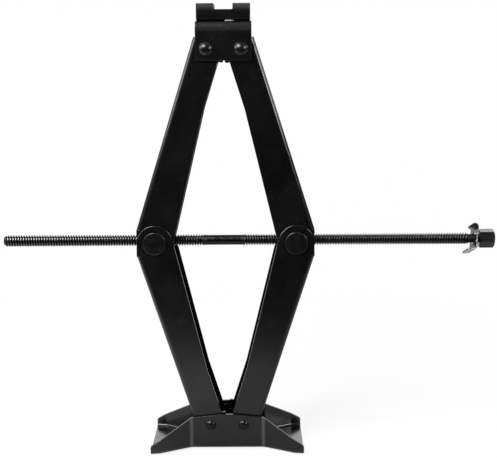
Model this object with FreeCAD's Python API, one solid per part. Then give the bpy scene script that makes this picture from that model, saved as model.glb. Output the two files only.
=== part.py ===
import FreeCAD
import Part

import math
import os

from FreeCAD import Vector

# Scissor stabilizer jack for a camper, in millimetres, drawn raised to its full height.
# The origin is on the ground under the middle of the base, with Z up, X along the screw
# and the hex drive head at the +X end. The near side is -Y.

# Linkage
ARM_SPAN = 223.5             # pivot to trunnion
RAISED_ANGLE = 74.2          # arm angle above the ground, in degrees
PIVOT_HALF_SPACING = 19.0    # the pivots of a meshing pair stand twice this apart
BASE_PIVOT_HEIGHT = 29.2
TOTAL_HEIGHT = 508.0

# Sheet metal, from the outside of the jack inwards
BASE_SHEET = 3.0
SADDLE_SHEET = 3.0
CRADLE_SHEET = 3.0
ARM_SHEET = 2.5
SIDE_GAP = 0.3               # between sheets that slide past each other
UPPER_ARM_HALF_WIDTH = 18.4

# Arm, in its own frame: along from the geared pivot, out towards the web
WEB_OUT_AT_PIVOT = 17.4
WEB_OUT_AT_TRUNNION = 24.3
WEB_START = -9.0
WEB_STOP_SHORT = 9.0         # the web ends this far before the trunnion axis
ARM_BEND_RADIUS = 5.0
WAIST_ALONG = 64.0           # where the flange is narrowest
WAIST_DEPTH = 14.3
HEEL_ALONG = 10.0
HEEL_DEPTH = 15.9
ARM_END_RADIUS = 20.4
WAIST_BLEND = 60.0
ARM_RIM_ROUND = 0.8          # stamped edges rolled over on the outside

# Gear sector on each flange, meshing one to one with the arm across from it
TEETH_PER_TURN = 9
PRESSURE_ANGLE = 30.0
ADDENDUM = 3.4
DEDENDUM = 4.4
FLANK_BACKLASH = 0.2         # taken off each flank at the pitch circle

# Pivot rivets and spacers
BASE_RIVET_RADIUS = 4.0
BASE_RIVET_HEAD_RADIUS = 6.0
BASE_RIVET_HEAD_HEIGHT = 3.4
TOP_RIVET_RADIUS = 5.0
TOP_RIVET_HEAD_RADIUS = 7.8
TOP_RIVET_HEAD_HEIGHT = 4.4
SPACER_WALL = 2.5
PIN_CLEARANCE = 0.05         # running fit, on the radius
LOOP_CLEARANCE = 0.3         # at the one pivot where the linkage is opened

# Trunnion nuts
TRUNNION_BODY_RADIUS = 14.0
TRUNNION_JOURNAL_RADIUS = 12.0
TRUNNION_HEAD_RADIUS = 12.9
TRUNNION_HALF_LENGTH = 23.8
TRUNNION_HEAD_ROUND = 0.9
NUT_CLEARANCE = 0.4          # over the thread crests, on the radius
NUT_COUNTERSINK = 1.2

# Screw: right-hand thread on the left half, left-hand thread on the right half
THREAD_PITCH = 3.0
THREAD_RADIUS = 6.5
THREAD_DEPTH = 1.9
THREAD_CREST = 0.8
THREAD_ROOT = 0.9
THREAD_RUNOUT = 4.0          # length over which the ridge fades at its ends
SHANK_RADIUS = 5.8
SCREW_LEFT_END = -254.0
LEFT_THREAD_STOP = -22.0
RIGHT_THREAD_START = 18.0
RIGHT_THREAD_STOP = 278.0
NECK_RADIUS = 5.0
NECK_END = 302.6

# Hex drive head
HEX_ACROSS_FLATS = 19.05     # three quarters of an inch
HEX_START = 288.8
HEX_END = 306.4
HEX_CORNER_ANGLE = -8.6      # one corner, measured from the near side upwards
HEX_CHAMFER = 2.1            # taken off the corner radius at each end
HEX_CHAMFER_ANGLE = 35.0

# Stop clip between the thread and the head
CLIP_SHEET = 2.0
CLIP_HALF_WIDTH = 8.0
CLIP_HALF_SPAN = 16.0
CLIP_PLACE = 285.2           # where the strap's face crosses the screw's axis
CLIP_TILT = 20.0             # leaning over, top towards the head
CLIP_TWIST = 30.0            # turned about the screw, top towards the far side
CLIP_TURN = 20.0             # swung about the upright, its left face towards the near side
CLIP_HOLE_RADIUS = 6.45
CLIP_UPPER_EAR_LENGTH = 6.6
CLIP_UPPER_EAR_ANGLE = -6.0      # ear's slope away from the screw, in degrees
CLIP_LOWER_EAR_LENGTH = 12.0
CLIP_LOWER_EAR_ANGLE = 18.0
CLIP_INNER_BEND = 2.0
CLIP_CORNER_ROUND = 3.0
CLIP_EDGE_ROUND = 0.4

# Base, a stamped bow tie
BASE_HALF_LENGTH = 88.2
BASE_WAIST_HALF_LENGTH = 41.8
BASE_FLARE_END = 76.4
BASE_FLARE_HALF_WIDTH = 42.0
BASE_END_HALF_WIDTH = 43.6
BASE_CREASE_RADIUS = 12.0
BASE_BEND_RADIUS = 6.0
BASE_MIDDLE_HEIGHT = 43.0
BASE_SHOULDER_HEIGHT = 38.2
BASE_END_HEIGHT = 11.0
BASE_CROWN_RADIUS = 129.0    # along the top of the flange, over the pivots
BASE_SHOULDER_ROUND = 8.0
BASE_TIP_ROUND = 4.0
BASE_EDGE_ROUND = 0.6

# Saddle and notched cradle
SADDLE_HALF_LENGTH = 30.7
SADDLE_TOP = 489.5
SADDLE_DROP = 12.5           # flange below the top pivots
SADDLE_BEND_RADIUS = 8.5
SADDLE_CORNER_ROUND = 4.0
SADDLE_EDGE_ROUND = 0.7
CRADLE_HALF_LENGTH = 29.4
CRADLE_HALF_WIDTH = 17.5
CRADLE_BEND_RADIUS = 4.5
NOTCH_HALF_WIDTH = 10.2
NOTCH_DEPTH = 6.4
NOTCH_ROUND = 1.2
CRADLE_EDGE_ROUND = 0.6
WELD_LENGTH = 11.0
WELD_OFFSET = 6.6
WELD_RADIUS = 2.6
WELD_END_ROUND = 1.7

# Worked out from the dimensions above
RISE = ARM_SPAN * math.sin(math.radians(RAISED_ANGLE))
REACH = ARM_SPAN * math.cos(math.radians(RAISED_ANGLE))
SCREW_HEIGHT = BASE_PIVOT_HEIGHT + RISE
TOP_PIVOT_HEIGHT = SCREW_HEIGHT + RISE
TRUNNION_OUT = PIVOT_HALF_SPACING + REACH
LOWER_ARM_HALF_WIDTH = UPPER_ARM_HALF_WIDTH + SIDE_GAP + ARM_SHEET
SADDLE_HALF_WIDTH = UPPER_ARM_HALF_WIDTH + SIDE_GAP + SADDLE_SHEET
BASE_HALF_WIDTH = LOWER_ARM_HALF_WIDTH + SIDE_GAP + BASE_SHEET
NEAR = -1
FAR = 1
SPARE = 1.0                  # how far a cutting shape runs past what it cuts
SAME = 0.01                  # closer than this counts as the same place
SHARP_SINE = 0.2             # sine of the least turn that counts as a sharp edge
X_AXIS = Vector(1, 0, 0)
Y_AXIS = Vector(0, 1, 0)
Z_AXIS = Vector(0, 0, 1)


def rounded_face(corners, to_point):
    """A flat face from corners (u, v, radius), each rounded to its radius."""
    edges = []
    count = len(corners)
    starts, middles, ends = [], [], []
    for i, (u, v, radius) in enumerate(corners):
        here = Vector(u, v, 0)
        before = Vector(*corners[i - 1][:2], 0) - here
        after = Vector(*corners[(i + 1) % count][:2], 0) - here
        before.normalize()
        after.normalize()
        half = before.getAngle(after) / 2
        trim = radius / math.tan(half)
        bisector = before + after
        starts.append(here + before * trim)
        ends.append(here + after * trim)
        if radius:
            bisector.normalize()
            middles.append(here + bisector * (radius / math.sin(half) - radius))
        else:
            middles.append(None)
    for i in range(count):
        if middles[i] is not None:
            arc = Part.Arc(to_point(starts[i]), to_point(middles[i]), to_point(ends[i]))
            edges.append(arc.toShape())
        there = starts[(i + 1) % count]
        if ends[i].distanceToPoint(there) > 1e-6:
            edges.append(Part.makeLine(to_point(ends[i]), to_point(there)))
    return Part.Face(Part.Wire(edges))


def side_plate(corners, y_from, y_to):
    """A plate drawn in the XZ plane and standing between two Y planes."""
    face = rounded_face(corners, lambda p: Vector(p.x, y_from, p.y))
    return face.extrude(Vector(0, y_to - y_from, 0))


def plan_block(corners, z_from, z_to):
    """A block drawn in the XY plane and standing between two heights."""
    face = rounded_face(corners, lambda p: Vector(p.x, p.y, z_from))
    return face.extrude(Vector(0, 0, z_to - z_from))


def end_block(corners, x_from, x_to):
    """A block drawn in the YZ plane and standing between two X planes."""
    face = rounded_face(corners, lambda p: Vector(x_from, p.x, p.y))
    return face.extrude(Vector(x_to - x_from, 0, 0))


def round_bar(radius, start, axis, length):
    return Part.makeCylinder(radius, length, start, axis)


def cross_bar(radius, x, z, half_length):
    """A bar along Y, centred on the jack's middle plane."""
    return round_bar(radius, Vector(x, -half_length, z), Y_AXIS, 2 * half_length)


def turned(profile, axis_point, axis):
    """A solid turned from straight profile points, given as vectors."""
    outline = Part.makePolygon(profile + [profile[0]])
    return Part.Face(outline).revolve(axis_point, axis, 360)


def fillet_where(shape, radius, wanted):
    edges = [edge for edge in shape.Edges if wanted(edge)]
    return shape.makeFillet(radius, edges)


def soften(shape, radius, wanted):
    """Round the sharp edges whose middle point is wanted."""
    edges = []
    for edge in shape.Edges:
        point = edge.valueAt((edge.FirstParameter + edge.LastParameter) / 2)
        faces = shape.ancestorsOfType(edge, Part.Face)
        normals = [face.normalAt(*face.Surface.parameter(point)) for face in faces]
        sharp = len(normals) == 2 and normals[0].cross(normals[1]).Length > SHARP_SINE
        if sharp and wanted(point):
            edges.append(edge)
    return shape.makeFillet(radius, edges)


def distance_from(point, x, z):
    """Distance from an axis along Y."""
    return math.hypot(point.x - x, point.z - z)


def half_turn_about_z(shape):
    return shape.rotated(Vector(0, 0, 0), Z_AXIS, 180)


def half_turn_about_screw_height(shape):
    return shape.rotated(Vector(0, 0, SCREW_HEIGHT), Y_AXIS, 180)


# Arms

PITCH_RADIUS = PIVOT_HALF_SPACING
TIP_RADIUS = PITCH_RADIUS + ADDENDUM
ROOT_RADIUS = PITCH_RADIUS - DEDENDUM
INVOLUTE_RADIUS = PITCH_RADIUS * math.cos(math.radians(PRESSURE_ANGLE))
TOOTH_STEP = 360.0 / TEETH_PER_TURN
MESH_ANGLE = RAISED_ANGLE - 180.0    # towards the arm across, in the arm's own frame


def web_out(along):
    share = along / ARM_SPAN
    return WEB_OUT_AT_PIVOT + share * (WEB_OUT_AT_TRUNNION - WEB_OUT_AT_PIVOT)


def involute(angle):
    return math.tan(angle) - angle


def half_tooth(radius):
    """Half of a tooth's angle at a radius, in radians."""
    at_pitch = math.pi / (2 * TEETH_PER_TURN) - FLANK_BACKLASH / PITCH_RADIUS
    if radius <= INVOLUTE_RADIUS:
        slope = 0.0
    else:
        slope = math.acos(INVOLUTE_RADIUS / radius)
    return at_pitch + involute(math.radians(PRESSURE_ANGLE)) - involute(slope)


def tooth(centre_degrees, y_from, y_to):
    centre = math.radians(centre_degrees)
    inside = ROOT_RADIUS - ADDENDUM
    middle = (INVOLUTE_RADIUS + TIP_RADIUS) / 2

    def at(radius, side):
        angle = centre + side * half_tooth(radius)
        return Vector(radius * math.cos(angle), y_from, radius * math.sin(angle))

    tip = Vector(TIP_RADIUS * math.cos(centre), y_from, TIP_RADIUS * math.sin(centre))
    flanks = [[at(r, side) for r in (inside, INVOLUTE_RADIUS, middle, TIP_RADIUS)] for side in (-1, 1)]
    first, last = flanks
    edges = [
        Part.makeLine(first[0], first[1]),
        Part.Arc(first[1], first[2], first[3]).toShape(),
        Part.Arc(first[3], tip, last[3]).toShape(),
        Part.Arc(last[3], last[2], last[1]).toShape(),
        Part.makeLine(last[1], last[0]),
        Part.makeLine(last[0], first[0]),
    ]
    return Part.Face(Part.Wire(edges)).extrude(Vector(0, y_to - y_from, 0))


def round_end_tangent(along, out, side):
    """Where a line from a point touches the round trunnion end, on its web (1) or inner (-1) side."""
    to_centre = math.atan2(-out, ARM_SPAN - along)
    distance = math.hypot(ARM_SPAN - along, out)
    slope = to_centre + side * math.asin(ARM_END_RADIUS / distance)
    run = math.sqrt(distance ** 2 - ARM_END_RADIUS ** 2)
    return along + run * math.cos(slope), out + run * math.sin(slope)


def arm(half_width, pivot_hole_radius):
    """A channel arm in its own frame: X along, Z out towards the web, Y across."""
    web_stop = ARM_SPAN - WEB_STOP_SHORT
    waist_touch = round_end_tangent(WAIST_ALONG, -WAIST_DEPTH, -1)
    web_touch = round_end_tangent(web_stop, web_out(web_stop), 1)
    inner_half_width = half_width - ARM_SHEET
    inside_end = ARM_END_RADIUS / 2
    inside_hub = ROOT_RADIUS / 2
    profile = [
        (WEB_START, web_out(WEB_START), 0),
        (web_stop, web_out(web_stop), 0),
        (web_stop, inside_end, 0),
        (*waist_touch, 0),
        (WAIST_ALONG, -WAIST_DEPTH, WAIST_BLEND),
        (HEEL_ALONG, -HEEL_DEPTH, 0),
        (0, -inside_hub, 0),
        (WEB_START, inside_hub, 0),
    ]
    channel = side_plate(profile, -half_width, half_width)

    def along_web(edge):
        middle = edge.CenterOfMass
        on_web = abs(middle.z - web_out(middle.x)) < SAME
        return on_web and edge.Length > ARM_SPAN / 2

    channel = fillet_where(channel, ARM_BEND_RADIUS, along_web)
    far_before = -ARM_SPAN
    far_after = 2 * ARM_SPAN
    hollow = side_plate(
        [
            (far_before, web_out(far_before) - ARM_SHEET, 0),
            (far_after, web_out(far_after) - ARM_SHEET, 0),
            (far_after, -ARM_SPAN, 0),
            (far_before, -ARM_SPAN, 0),
        ],
        -inner_half_width,
        inner_half_width,
    )

    def along_hollow(edge):
        middle = edge.CenterOfMass
        on_roof = abs(middle.z - web_out(middle.x) + ARM_SHEET) < SAME
        return on_roof and edge.Length > ARM_SPAN

    hollow = fillet_where(hollow, ARM_BEND_RADIUS - ARM_SHEET, along_hollow)
    body = channel.cut(hollow)
    shoulder = [
        (web_stop, web_out(web_stop), 0),
        (*web_touch, 0),
        (ARM_SPAN, 0, 0),
        (web_stop, inside_end, 0),
    ]
    plates = []
    first_tooth = {NEAR: MESH_ANGLE + TOOTH_STEP, FAR: MESH_ANGLE + TOOTH_STEP / 2}
    tooth_count = {NEAR: 4, FAR: 3}
    for side in (NEAR, FAR):
        y_from, y_to = sorted((side * inner_half_width, side * half_width))
        start = Vector(0, y_from, 0)
        plates.append(round_bar(ROOT_RADIUS, start, Y_AXIS, ARM_SHEET))
        plates.append(round_bar(ARM_END_RADIUS, start + X_AXIS * ARM_SPAN, Y_AXIS, ARM_SHEET))
        plates.append(side_plate(shoulder, y_from, y_to))
        for i in range(tooth_count[side]):
            plates.append(tooth(first_tooth[side] - i * TOOTH_STEP, y_from, y_to))
    body = body.fuse(plates).removeSplitter()
    holes = [
        cross_bar(pivot_hole_radius, 0, 0, 2 * half_width),
        cross_bar(TRUNNION_JOURNAL_RADIUS + PIN_CLEARANCE, ARM_SPAN, 0, 2 * half_width),
    ]
    body = body.cut(holes)
    hole_edge = TRUNNION_JOURNAL_RADIUS + SPARE
    toothed = TIP_RADIUS + SPARE

    def on_rim(point):
        outside = abs(abs(point.y) - half_width) < SAME
        clear_of_teeth = distance_from(point, 0, 0) > toothed
        on_shoulder_end = abs(point.x - web_stop) < SAME
        clear_of_hole = distance_from(point, ARM_SPAN, 0) > hole_edge
        return outside and clear_of_teeth and clear_of_hole and not on_shoulder_end

    return soften(body, ARM_RIM_ROUND, on_rim)


def lower_arm():
    """The left lower arm in place; the right one is the same arm turned round."""
    shape = arm(LOWER_ARM_HALF_WIDTH, BASE_RIVET_RADIUS + PIN_CLEARANCE)
    shape.rotate(Vector(0, 0, 0), Y_AXIS, MESH_ANGLE)
    shape.translate(Vector(-PIVOT_HALF_SPACING, 0, BASE_PIVOT_HEIGHT))
    return shape


def upper_arm(clearance):
    """The right upper arm in place; the left one is the same arm turned round."""
    shape = arm(UPPER_ARM_HALF_WIDTH, TOP_RIVET_RADIUS + clearance)
    shape.rotate(Vector(0, 0, 0), Y_AXIS, MESH_ANGLE)
    shape.translate(Vector(-PIVOT_HALF_SPACING, 0, BASE_PIVOT_HEIGHT))
    return half_turn_about_screw_height(shape)


# Base

def base_plan(inset):
    """Half of the bow tie's outline, as (x, y, crease radius), set in by a wall."""
    def inset_line(p, q):
        length = math.hypot(q[0] - p[0], q[1] - p[1])
        shift = inset * (q[0] - p[0]) / length, inset * (q[1] - p[1]) / length
        return (p[0] + shift[1], p[1] - shift[0]), (q[0] + shift[1], q[1] - shift[0])

    def meet(first, second):
        (x1, y1), (x2, y2) = first
        (x3, y3), (x4, y4) = second
        slope_1 = (y2 - y1) / (x2 - x1)
        slope_2 = (y4 - y3) / (x4 - x3)
        x = (y3 - y1 + slope_1 * x1 - slope_2 * x3) / (slope_1 - slope_2)
        return x, y1 + slope_1 * (x - x1)

    waist = (0, BASE_HALF_WIDTH)
    crease = (BASE_WAIST_HALF_LENGTH, BASE_HALF_WIDTH)
    flare = (BASE_FLARE_END, BASE_FLARE_HALF_WIDTH)
    tip = (BASE_HALF_LENGTH, BASE_END_HALF_WIDTH)
    lines = [inset_line(*pair) for pair in ((waist, crease), (crease, flare), (flare, tip))]
    return meet(lines[0], lines[1]), meet(lines[1], lines[2]), lines[2][1]


def base_block(inset, past_end, z_from):
    """The bow tie as a solid block, set in by a wall thickness."""
    crease, flare, tip = base_plan(inset)
    crease_radius = BASE_CREASE_RADIUS + inset
    flare_radius = BASE_CREASE_RADIUS - inset
    right = [crease + (crease_radius,), flare + (flare_radius,), (tip[0] + past_end, tip[1], 0)]
    outline = [(-x, y, r) for x, y, r in reversed(right)] + right
    outline += [(x, -y, r) for x, y, r in reversed(right)]
    outline += [(-x, -y, r) for x, y, r in right]
    return plan_block(outline, z_from, BASE_MIDDLE_HEIGHT + SPARE)


def base_plate():
    def along_floor(z):
        def wanted(edge):
            box = edge.BoundBox
            across_end = box.XLength < SAME
            return abs(box.ZMin - z) < SAME and abs(box.ZMax - z) < SAME and not across_end
        return wanted

    block = fillet_where(base_block(0, 0, 0), BASE_BEND_RADIUS, along_floor(0))
    hollow = base_block(BASE_SHEET, SPARE, BASE_SHEET)
    hollow = fillet_where(hollow, BASE_BEND_RADIUS - BASE_SHEET, along_floor(BASE_SHEET))
    tray = block.cut(hollow)
    side = [
        (0, BASE_MIDDLE_HEIGHT, BASE_CROWN_RADIUS),
        (BASE_WAIST_HALF_LENGTH, BASE_SHOULDER_HEIGHT, BASE_SHOULDER_ROUND),
        (BASE_HALF_LENGTH, BASE_END_HEIGHT, BASE_TIP_ROUND),
        (BASE_HALF_LENGTH, -SPARE, 0),
    ]
    outline = [(-x, z, r) for x, z, r in reversed(side[1:])] + side
    tray = tray.common(side_plate(outline, -2 * BASE_HALF_WIDTH, 2 * BASE_HALF_WIDTH))
    holes = [
        cross_bar(BASE_RIVET_RADIUS, x, BASE_PIVOT_HEIGHT, 2 * BASE_HALF_WIDTH)
        for x in (-PIVOT_HALF_SPACING, PIVOT_HALF_SPACING)
    ]
    tray = tray.cut(holes)

    def on_flange_top(point):
        left = distance_from(point, -PIVOT_HALF_SPACING, BASE_PIVOT_HEIGHT)
        right = distance_from(point, PIVOT_HALF_SPACING, BASE_PIVOT_HEIGHT)
        return point.z > BASE_BEND_RADIUS and min(left, right) > 2 * BASE_RIVET_RADIUS

    return soften(tray, BASE_EDGE_ROUND, on_flange_top)


# Rivets and spacers

def rivet(x, z, radius, head_radius, head_height, grip_half_length):
    """A through rivet along Y with a domed head on both sides."""
    ball_radius = (head_radius ** 2 + head_height ** 2) / (2 * head_height)
    solid = cross_bar(radius, x, z, grip_half_length)
    for side in (NEAR, FAR):
        centre = Vector(x, side * (grip_half_length + head_height - ball_radius), z)
        ball = Part.makeSphere(ball_radius, centre)
        start = Vector(x, side * grip_half_length, z)
        cutter = round_bar(2 * head_radius, start, Y_AXIS * side, 2 * head_height)
        solid = solid.fuse(ball.common(cutter))
    return solid.removeSplitter()


def spacer(x, z, rivet_radius, half_length):
    """A sleeve on the rivet that keeps an arm's flanges apart."""
    outer = cross_bar(rivet_radius + SPACER_WALL, x, z, half_length)
    return outer.cut(cross_bar(rivet_radius + PIN_CLEARANCE, x, z, 2 * half_length))


# Trunnion nuts and screw

def trunnion_nut(x):
    """A shouldered cross pin, peened over at both ends, with the screw through it."""
    shoulder = UPPER_ARM_HALF_WIDTH - ARM_SHEET - SIDE_GAP
    head_start = LOWER_ARM_HALF_WIDTH + SIDE_GAP
    solid = cross_bar(TRUNNION_BODY_RADIUS, x, SCREW_HEIGHT, shoulder)
    solid = solid.fuse(cross_bar(TRUNNION_JOURNAL_RADIUS, x, SCREW_HEIGHT, TRUNNION_HALF_LENGTH))
    for side in (NEAR, FAR):
        start = Vector(x, side * head_start, SCREW_HEIGHT)
        length = TRUNNION_HALF_LENGTH - head_start
        head = round_bar(TRUNNION_HEAD_RADIUS, start, Y_AXIS * side, length)
        end = side * TRUNNION_HALF_LENGTH
        head = fillet_where(
            head,
            TRUNNION_HEAD_ROUND,
            lambda edge: abs(edge.BoundBox.YMin - end) < SAME and abs(edge.BoundBox.YMax - end) < SAME,
        )
        solid = solid.fuse(head)
    bore_radius = THREAD_RADIUS + NUT_CLEARANCE
    reach = 2 * TRUNNION_BODY_RADIUS
    start = Vector(x - reach / 2, 0, SCREW_HEIGHT)
    solid = solid.removeSplitter().cut(round_bar(bore_radius, start, X_AXIS, reach))
    for side in (-1, 1):
        mouth = Vector(x + side * TRUNNION_BODY_RADIUS, 0, SCREW_HEIGHT)
        wide = bore_radius + NUT_COUNTERSINK
        cone = Part.makeCone(wide, bore_radius, 2 * NUT_COUNTERSINK, mouth, X_AXIS * -side)
        solid = solid.cut(cone)
    return solid


def threaded_bar(x_from, x_to, left_handed):
    """A bar with a rolled ridge wound round it, fading out at both ends."""
    length = x_to - x_from
    root = THREAD_RADIUS - THREAD_DEPTH
    flank = (THREAD_PITCH - THREAD_CREST - THREAD_ROOT) / 2
    sunk = THREAD_DEPTH / 2
    foot = THREAD_CREST / 2 + flank * (THREAD_DEPTH + sunk) / THREAD_DEPTH
    ridge = [
        Vector(root - sunk, 0, -foot),
        Vector(THREAD_RADIUS, 0, -THREAD_CREST / 2),
        Vector(THREAD_RADIUS, 0, THREAD_CREST / 2),
        Vector(root - sunk, 0, foot),
    ]
    helix = Part.makeLongHelix(THREAD_PITCH, length + 2 * THREAD_PITCH, root, 0, left_handed)
    wound = Part.Wire(helix).makePipeShell([Part.makePolygon(ridge + ridge[:1])], True, True)
    wound.translate(Vector(0, 0, -THREAD_PITCH))
    before = Vector(0, 0, -2 * THREAD_PITCH)
    core = Part.makeCylinder(root, length + 4 * THREAD_PITCH, before, Z_AXIS)
    envelope = [
        Vector(0, 0, 0),
        Vector(root, 0, 0),
        Vector(THREAD_RADIUS + SPARE, 0, THREAD_RUNOUT),
        Vector(THREAD_RADIUS + SPARE, 0, length - THREAD_RUNOUT),
        Vector(root, 0, length),
        Vector(0, 0, length),
    ]
    bar = core.fuse(wound).common(turned(envelope, Vector(0, 0, 0), Z_AXIS))
    bar.rotate(Vector(0, 0, 0), Y_AXIS, 90)
    bar.translate(Vector(x_from, 0, SCREW_HEIGHT))
    return bar


def drive_screw():
    left = threaded_bar(SCREW_LEFT_END, LEFT_THREAD_STOP, False)
    right = threaded_bar(RIGHT_THREAD_START, RIGHT_THREAD_STOP, True)
    shank_start = Vector(LEFT_THREAD_STOP - THREAD_RUNOUT, 0, SCREW_HEIGHT)
    shank_length = RIGHT_THREAD_START - LEFT_THREAD_STOP + 2 * THREAD_RUNOUT
    shank = round_bar(SHANK_RADIUS, shank_start, X_AXIS, shank_length)
    neck_start = Vector(RIGHT_THREAD_STOP - THREAD_PITCH, 0, SCREW_HEIGHT)
    neck = round_bar(NECK_RADIUS, neck_start, X_AXIS, NECK_END - neck_start.x)
    return shank.fuse([left, right, neck])


def drive_head():
    corner_radius = HEX_ACROSS_FLATS / math.sqrt(3)
    corners = []
    for i in range(6):
        angle = math.radians(HEX_CORNER_ANGLE + 60 * i)
        height = SCREW_HEIGHT + corner_radius * math.sin(angle)
        corners.append((-corner_radius * math.cos(angle), height, 0))
    prism = end_block(corners, HEX_START, HEX_END)
    end_radius = corner_radius - HEX_CHAMFER
    rim = corner_radius + SPARE
    drop = (rim - end_radius) * math.tan(math.radians(HEX_CHAMFER_ANGLE))
    profile = [
        (HEX_START, 0),
        (HEX_START, end_radius),
        (HEX_START + drop, rim),
        (HEX_END - drop, rim),
        (HEX_END, end_radius),
        (HEX_END, 0),
    ]
    points = [Vector(x, 0, SCREW_HEIGHT + radius) for x, radius in profile]
    barrel = turned(points, Vector(0, 0, SCREW_HEIGHT), X_AXIS)
    socket_depth = NECK_END - HEX_START
    start = Vector(HEX_START, 0, SCREW_HEIGHT)
    return prism.common(barrel).cut(round_bar(NECK_RADIUS, start, X_AXIS, socket_depth))


def stop_clip():
    """A strap with a hole for the screw and both ends bent back along it."""
    outer_bend = CLIP_INNER_BEND + CLIP_SHEET

    def ear(side, length, angle):
        slope = math.radians(angle)
        thick = CLIP_SHEET / math.cos(slope)
        inner_foot = CLIP_HALF_SPAN - thick + CLIP_SHEET * math.tan(slope)
        tip_x = -length * math.cos(slope)
        tip_out = CLIP_HALF_SPAN + length * math.sin(slope)
        outer = [(tip_x, side * tip_out, 0), (0, side * CLIP_HALF_SPAN, outer_bend)]
        inner_tip = (tip_x, side * (tip_out - thick), 0)
        inner = [(-CLIP_SHEET, side * inner_foot, CLIP_INNER_BEND), inner_tip]
        return outer, inner

    upper_outer, upper_inner = ear(1, CLIP_UPPER_EAR_LENGTH, CLIP_UPPER_EAR_ANGLE)
    lower_outer, lower_inner = ear(-1, CLIP_LOWER_EAR_LENGTH, CLIP_LOWER_EAR_ANGLE)
    outline = upper_outer + lower_outer[::-1] + lower_inner[::-1] + upper_inner
    strap = side_plate(outline, -CLIP_HALF_WIDTH, CLIP_HALF_WIDTH)

    def ear_corner(edge):
        at_tip = edge.BoundBox.YLength < SAME and edge.BoundBox.XMax < -1.5 * outer_bend
        return at_tip and edge.Length < 2 * CLIP_SHEET

    strap = fillet_where(strap, CLIP_CORNER_ROUND, ear_corner)
    start = Vector(-CLIP_SHEET - SPARE, 0, 0)
    strap = strap.cut(round_bar(CLIP_HOLE_RADIUS, start, X_AXIS, CLIP_SHEET + 2 * SPARE))
    beyond_hole = CLIP_HOLE_RADIUS + SPARE
    strap = soften(strap, CLIP_EDGE_ROUND, lambda point: math.hypot(point.y, point.z) > beyond_hole)
    strap.rotate(Vector(0, 0, 0), Y_AXIS, CLIP_TILT)
    strap.rotate(Vector(0, 0, 0), X_AXIS, -CLIP_TWIST)
    strap.rotate(Vector(0, 0, 0), Z_AXIS, CLIP_TURN)
    strap.translate(Vector(CLIP_PLACE, 0, SCREW_HEIGHT))
    return strap


# Saddle and cradle

def saddle_bracket():
    bottom = TOP_PIVOT_HEIGHT - SADDLE_DROP
    inner_half_width = SADDLE_HALF_WIDTH - SADDLE_SHEET
    inner_bend = SADDLE_BEND_RADIUS - SADDLE_SHEET
    outer = end_block(
        [
            (-SADDLE_HALF_WIDTH, bottom, 0),
            (-SADDLE_HALF_WIDTH, SADDLE_TOP, SADDLE_BEND_RADIUS),
            (SADDLE_HALF_WIDTH, SADDLE_TOP, SADDLE_BEND_RADIUS),
            (SADDLE_HALF_WIDTH, bottom, 0),
        ],
        -SADDLE_HALF_LENGTH,
        SADDLE_HALF_LENGTH,
    )
    roof = SADDLE_TOP - SADDLE_SHEET
    hollow = end_block(
        [
            (-inner_half_width, bottom - SPARE, 0),
            (-inner_half_width, roof, inner_bend),
            (inner_half_width, roof, inner_bend),
            (inner_half_width, bottom - SPARE, 0),
        ],
        -2 * SADDLE_HALF_LENGTH,
        2 * SADDLE_HALF_LENGTH,
    )
    side = side_plate(
        [
            (-SADDLE_HALF_LENGTH, bottom, SADDLE_CORNER_ROUND),
            (SADDLE_HALF_LENGTH, bottom, SADDLE_CORNER_ROUND),
            (SADDLE_HALF_LENGTH, SADDLE_TOP, 0),
            (-SADDLE_HALF_LENGTH, SADDLE_TOP, 0),
        ],
        -SADDLE_HALF_WIDTH,
        SADDLE_HALF_WIDTH,
    )
    holes = [
        cross_bar(TOP_RIVET_RADIUS, x, TOP_PIVOT_HEIGHT, 2 * SADDLE_HALF_WIDTH)
        for x in (-PIVOT_HALF_SPACING, PIVOT_HALF_SPACING)
    ]
    channel = outer.cut(hollow).common(side).cut(holes)

    def clear_of_rivets(point):
        left = distance_from(point, -PIVOT_HALF_SPACING, TOP_PIVOT_HEIGHT)
        right = distance_from(point, PIVOT_HALF_SPACING, TOP_PIVOT_HEIGHT)
        return min(left, right) > TOP_RIVET_RADIUS + SPARE

    return soften(channel, SADDLE_EDGE_ROUND, clear_of_rivets)


def notched_cradle():
    inner_half_width = CRADLE_HALF_WIDTH - CRADLE_SHEET
    inner_bend = CRADLE_BEND_RADIUS - CRADLE_SHEET
    floor = SADDLE_TOP + CRADLE_SHEET
    above = TOTAL_HEIGHT + SPARE
    outer = end_block(
        [
            (-CRADLE_HALF_WIDTH, TOTAL_HEIGHT, 0),
            (-CRADLE_HALF_WIDTH, SADDLE_TOP, CRADLE_BEND_RADIUS),
            (CRADLE_HALF_WIDTH, SADDLE_TOP, CRADLE_BEND_RADIUS),
            (CRADLE_HALF_WIDTH, TOTAL_HEIGHT, 0),
        ],
        -CRADLE_HALF_LENGTH,
        CRADLE_HALF_LENGTH,
    )
    hollow = end_block(
        [
            (-inner_half_width, above, 0),
            (-inner_half_width, floor, inner_bend),
            (inner_half_width, floor, inner_bend),
            (inner_half_width, above, 0),
        ],
        -2 * CRADLE_HALF_LENGTH,
        2 * CRADLE_HALF_LENGTH,
    )
    notch_floor = TOTAL_HEIGHT - NOTCH_DEPTH
    notch = side_plate(
        [
            (-NOTCH_HALF_WIDTH, above, 0),
            (-NOTCH_HALF_WIDTH, notch_floor, NOTCH_ROUND),
            (NOTCH_HALF_WIDTH, notch_floor, NOTCH_ROUND),
            (NOTCH_HALF_WIDTH, above, 0),
        ],
        -2 * CRADLE_HALF_WIDTH,
        2 * CRADLE_HALF_WIDTH,
    )
    return soften(outer.cut(hollow).cut(notch), CRADLE_EDGE_ROUND, lambda point: True)


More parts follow.
